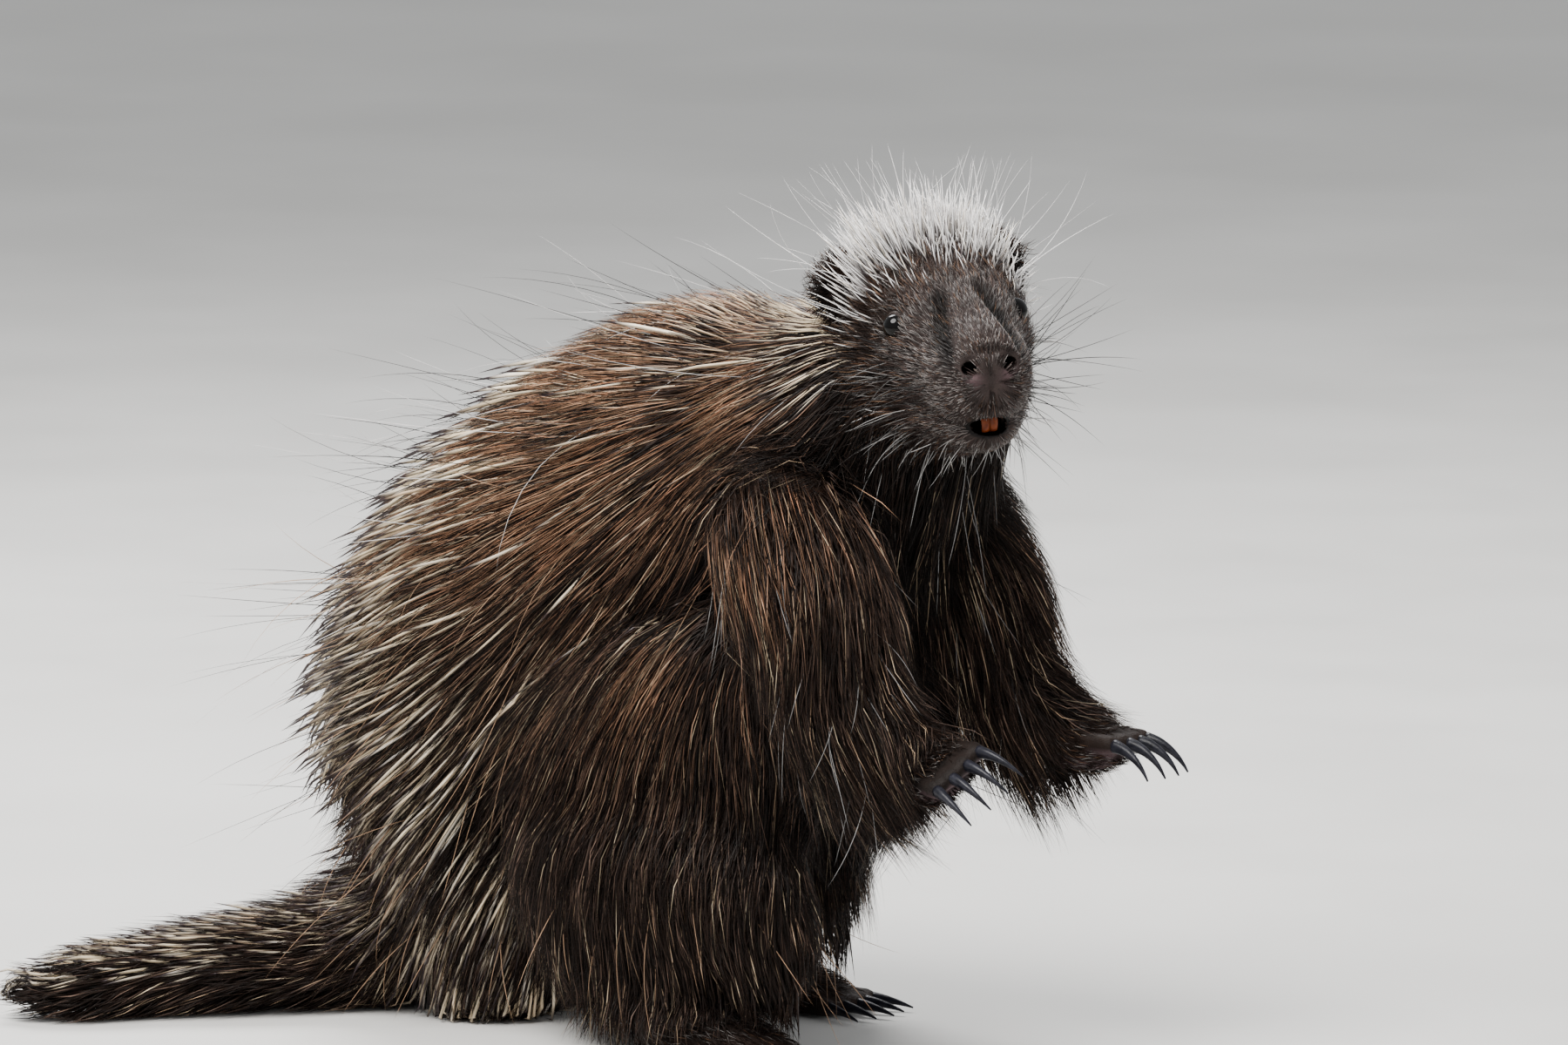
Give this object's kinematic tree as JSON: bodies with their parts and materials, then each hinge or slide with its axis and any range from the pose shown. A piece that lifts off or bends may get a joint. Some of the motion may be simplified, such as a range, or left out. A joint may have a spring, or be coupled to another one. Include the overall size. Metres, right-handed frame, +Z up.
{
  "type": "porcupine model",
  "caption": "Life-size still model of a North American porcupine sitting up on its haunches, head turned, forepaws raised.",
  "frame": {"origin": "on the floor under the middle of the model's bounding box", "axes": "+X the way the body faces, +Y the animal's left, +Z up"},
  "size_m": [0.6226, 0.334, 0.4906],
  "materials": {
    "coat": "matte guard hair and quills",
    "face": "short matte fur",
    "paw": "short fur over skin",
    "eye": "wet gloss",
    "claw": "polished horn",
    "tooth": "polished enamel"
  },
  "bodies": {
    "root": {"ear_left": "face", "ear_right": "face", "eye_left": "eye", "eye_right": "eye", "incisors_upper": "tooth", "head": "face", "neck": "coat", "foreleg_left": "coat", "foreleg_right": "coat", "torso": "coat", "hindleg_left": "coat", "hindleg_right": "coat", "tail": "coat", "forepaw_left": "paw", "forepaw_right": "paw", "hindfoot_left": "paw", "hindfoot_right": "paw", "claw_fore_left_1": "claw", "claw_fore_left_2": "claw", "claw_fore_left_3": "claw", "claw_fore_left_4": "claw", "claw_hind_left_1": "claw", "claw_hind_left_2": "claw", "claw_hind_left_3": "claw", "claw_hind_left_4": "claw", "claw_hind_left_5": "claw", "claw_fore_right_1": "claw", "claw_fore_right_2": "claw", "claw_fore_right_3": "claw", "claw_fore_right_4": "claw", "claw_hind_right_1": "claw", "claw_hind_right_2": "claw", "claw_hind_right_3": "claw", "claw_hind_right_4": "claw", "claw_hind_right_5": "claw"}
  },
  "joints": []
}
